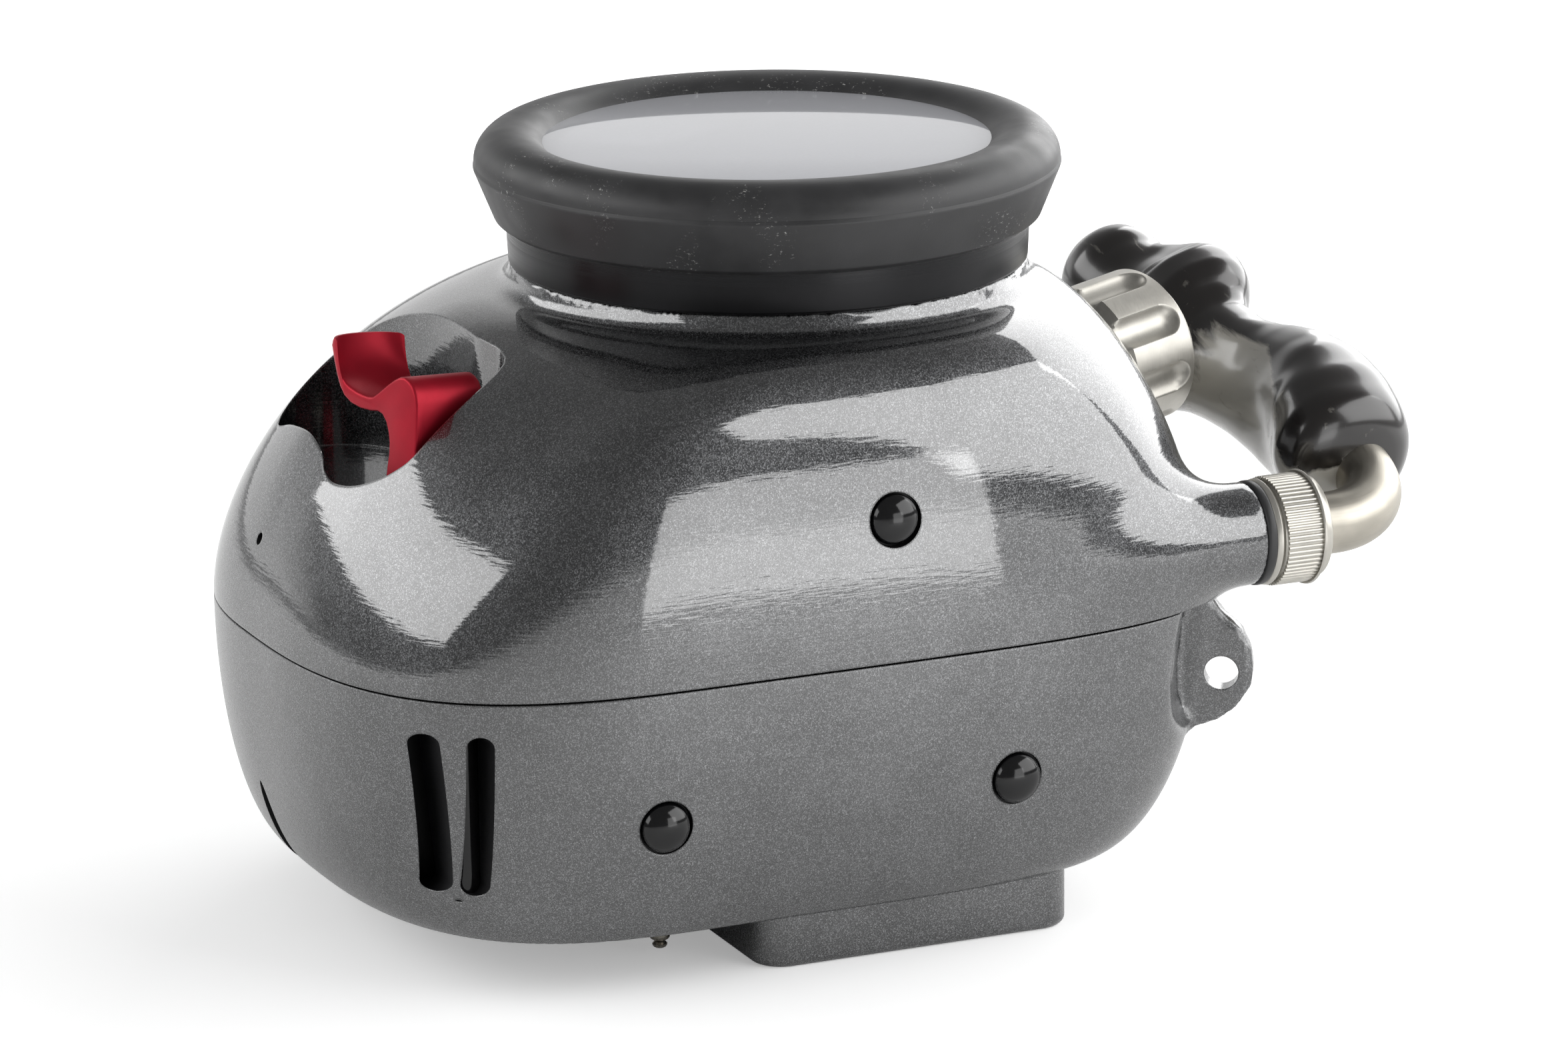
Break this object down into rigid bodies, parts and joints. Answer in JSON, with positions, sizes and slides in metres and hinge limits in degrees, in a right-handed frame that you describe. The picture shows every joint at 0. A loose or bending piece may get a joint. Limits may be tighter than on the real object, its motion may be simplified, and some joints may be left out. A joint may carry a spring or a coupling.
{
  "type": "underwater camera housing",
  "caption": "Cast two-part diving housing for a camera, with a flat port in a rubber bumper, a red shutter lever, a fluted knob, a swivelling side grip and push buttons.",
  "frame": {"origin": "where the port axis meets the plane that the rear block rests on", "axes": "+Z along the port axis out through the glass, +X towards the side with the hand grip, -Y is the side with the three round feet"},
  "size_m": [0.2863, 0.1761, 0.1839],
  "materials": {
    "shell_paint": "cast aluminium under glossy anthracite metallic paint",
    "black_anodised": "turned aluminium, black anodised, finely brushed",
    "red_anodised": "aluminium, red anodised",
    "silver_aluminium": "turned aluminium, clear anodised",
    "steel": "satin stainless steel",
    "rubber": "matte black rubber with pale scuffs",
    "foot_rubber": "glossy black rubber",
    "horn": "polished dark horn with pale streaks",
    "port_glass": "clear flat optical glass",
    "window_glass": "clear acrylic windows",
    "polymer": "natural polymer"
  },
  "bodies": {
    "rear_housing": {"rear_shell": "shell_paint", "main_seal": "rubber", "strap_bar": "black_anodised", "screen_window": "window_glass", "eyepiece_window": "window_glass", "foot_rear_left": "foot_rubber", "foot_rear_right": "foot_rubber", "camera_tray": "black_anodised", "tray_bolt_left": "steel", "tray_bolt_right": "steel", "button_gland_1": "steel", "button_spring_1": "steel", "button_gland_2": "steel", "button_spring_2": "steel", "button_gland_3": "steel", "button_spring_3": "steel", "closure_screw_1": "steel", "closure_screw_2": "steel", "closure_screw_3": "steel", "closure_screw_4": "steel"},
    "front_housing": {"front_shell": "shell_paint", "foot_front": "foot_rubber", "lever_bush": "steel", "knob_bush": "steel", "boss_seal": "rubber", "lever_spring": "steel"},
    "port": {"port_collar": "black_anodised", "port_glass": "port_glass", "port_seal": "rubber", "bumper_band": "rubber", "bumper_ring": "rubber"},
    "lever": {"shutter_lever": "red_anodised", "lever_shaft": "steel", "lever_seal": "rubber", "lever_arm": "black_anodised"},
    "knob": {"control_knob": "silver_aluminium", "knob_shaft": "steel", "knob_pinion": "polymer"},
    "nut": {"clamp_nut": "silver_aluminium"},
    "handle": {"handle_tube": "steel", "hand_grip": "horn"},
    "button_1": {"button_pin_1": "steel"},
    "button_2": {"button_pin_2": "steel"},
    "button_3": {"button_pin_3": "steel"},
    "mounting_screw": {"tray_screw": "steel"}
  },
  "joints": [
    {"name": "shell_opening", "type": "slide", "parent": "rear_housing", "child": "front_housing", "axis": [0, 0, 1], "range_m": [0, 0.12]},
    {"name": "port_turn", "type": "hinge", "parent": "front_housing", "child": "port", "pos_m": [0, 0, 0.152], "axis": [0, 0, 1], "range_deg": [0, 60]},
    {"name": "lever_press", "type": "hinge", "parent": "front_housing", "child": "lever", "pos_m": [-0.09788, -0.02937, 0.11459], "axis": [-0.9511, -0.2908, 0.1045], "range_deg": [0, 12], "stiffness_Nm_per_rad": 0.4, "springref_deg": -8.59},
    {"name": "knob_turn", "type": "hinge", "parent": "front_housing", "child": "knob", "pos_m": [0.084, 0.003, 0.1145], "axis": [0.9511, 0.2908, 0.1045], "continuous": true},
    {"name": "nut_turn", "type": "hinge", "parent": "front_housing", "child": "nut", "pos_m": [0.103, -0.07, 0.089], "axis": [1, 0, 0], "continuous": true},
    {"name": "handle_swivel", "type": "hinge", "parent": "front_housing", "child": "handle", "pos_m": [0.103, -0.07, 0.089], "axis": [1, 0, 0], "range_deg": [-30, 90]},
    {"name": "screw_turn", "type": "hinge", "parent": "rear_housing", "child": "mounting_screw", "pos_m": [0, -0.071, 0.047], "axis": [0, -1, 0], "continuous": true},
    {"name": "button_press_1", "type": "slide", "parent": "rear_housing", "child": "button_1", "axis": [0, 0, 1], "range_m": [0, 0.003], "stiffness_N_per_m": 300, "springref_m": -0.004, "deforming": ["button_spring_1"]},
    {"name": "button_press_2", "type": "slide", "parent": "rear_housing", "child": "button_2", "axis": [0, 0, 1], "range_m": [0, 0.003], "stiffness_N_per_m": 300, "springref_m": -0.004, "deforming": ["button_spring_2"]},
    {"name": "button_press_3", "type": "slide", "parent": "rear_housing", "child": "button_3", "axis": [0, 0, 1], "range_m": [0, 0.003], "stiffness_N_per_m": 300, "springref_m": -0.004, "deforming": ["button_spring_3"]}
  ]
}
